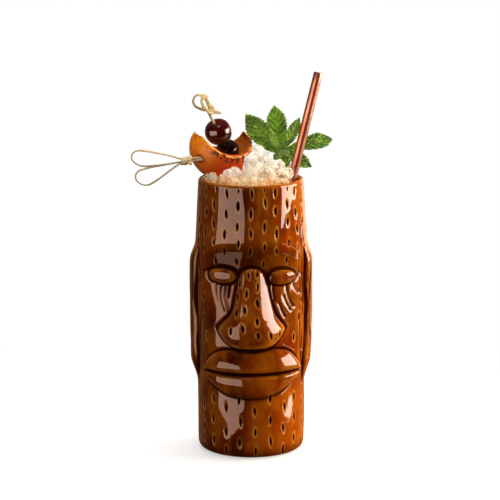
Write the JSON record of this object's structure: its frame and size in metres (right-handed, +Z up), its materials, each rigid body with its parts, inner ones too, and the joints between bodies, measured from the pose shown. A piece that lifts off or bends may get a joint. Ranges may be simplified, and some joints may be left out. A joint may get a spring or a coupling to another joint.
{
  "type": "tiki mug",
  "caption": "Glazed ceramic mug shaped as a moai-style head, filled with drink and nugget ice, with a metal straw, mint sprig, fruit shell, cherries and bamboo picks.",
  "frame": {"origin": "centre of the flat foot, on the table", "axes": "+Z up; the face looks along -Y; +X is to the right of someone facing it"},
  "size_m": [0.1304, 0.0858, 0.2483],
  "materials": {
    "glaze": "gloss",
    "drink": "gloss",
    "ice": "gloss",
    "copper": "polished",
    "fruit": "satin",
    "cherry": "gloss",
    "bamboo": "satin",
    "mint": "satin"
  },
  "bodies": {
    "mug": {"mug_body": "glaze", "drink": "drink", "ice_bed": "ice", "ice_01": "ice", "ice_02": "ice", "ice_03": "ice", "ice_04": "ice", "ice_05": "ice", "ice_06": "ice", "ice_07": "ice", "ice_08": "ice", "ice_09": "ice", "ice_10": "ice", "ice_11": "ice", "ice_12": "ice", "ice_13": "ice", "ice_14": "ice", "ice_15": "ice", "ice_16": "ice", "ice_17": "ice", "ice_18": "ice", "ice_19": "ice", "ice_20": "ice", "ice_21": "ice", "ice_22": "ice", "ice_23": "ice", "ice_24": "ice", "ice_25": "ice", "ice_26": "ice", "ice_27": "ice", "ice_28": "ice"},
    "straw": {"straw": "copper"},
    "mint": {"mint_stem": "mint", "mint_left": "mint", "mint_tall": "mint", "mint_upper_right": "mint", "mint_right": "mint", "mint_low_right": "mint", "mint_front": "mint", "mint_young": "mint", "mint_back": "mint", "mint_back_right": "mint"},
    "fruit": {"fruit_wedge": "fruit"},
    "loop_pick": {"loop_pick": "bamboo"},
    "knot_pick": {"knot_pick": "bamboo"},
    "cherry_large": {"cherry_large": "cherry"},
    "cherry_small": {"cherry_small": "cherry"}
  },
  "joints": [
    {"name": "straw_lift", "type": "slide", "parent": "mug", "child": "straw", "axis": [0.2388, 0.0728, 0.9683], "range_m": [0, 0.2]},
    {"name": "mint_lift", "type": "slide", "parent": "mug", "child": "mint", "axis": [0.0963, 0.0759, 0.9925], "range_m": [0, 0.075]},
    {"name": "fruit_lift", "type": "slide", "parent": "mug", "child": "fruit", "axis": [-0.7001, 0, 0.7141], "range_m": [0, 0.08]},
    {"name": "loop_pick_pull", "type": "slide", "parent": "fruit", "child": "loop_pick", "axis": [-0.9721, -0.23, -0.045], "range_m": [0, 0.03]},
    {"name": "knot_pick_pull", "type": "slide", "parent": "fruit", "child": "knot_pick", "axis": [-0.3574, -0.4646, 0.8102], "range_m": [0, 0.045]},
    {"name": "cherry_large_spin", "type": "hinge", "parent": "knot_pick", "child": "cherry_large", "pos_m": [-0.0211, -0.0028, 0.2103], "axis": [-0.3574, -0.4646, 0.8102], "continuous": true},
    {"name": "cherry_small_spin", "type": "hinge", "parent": "knot_pick", "child": "cherry_small", "pos_m": [-0.0151, 0.005, 0.1967], "axis": [-0.3574, -0.4646, 0.8102], "continuous": true}
  ]
}
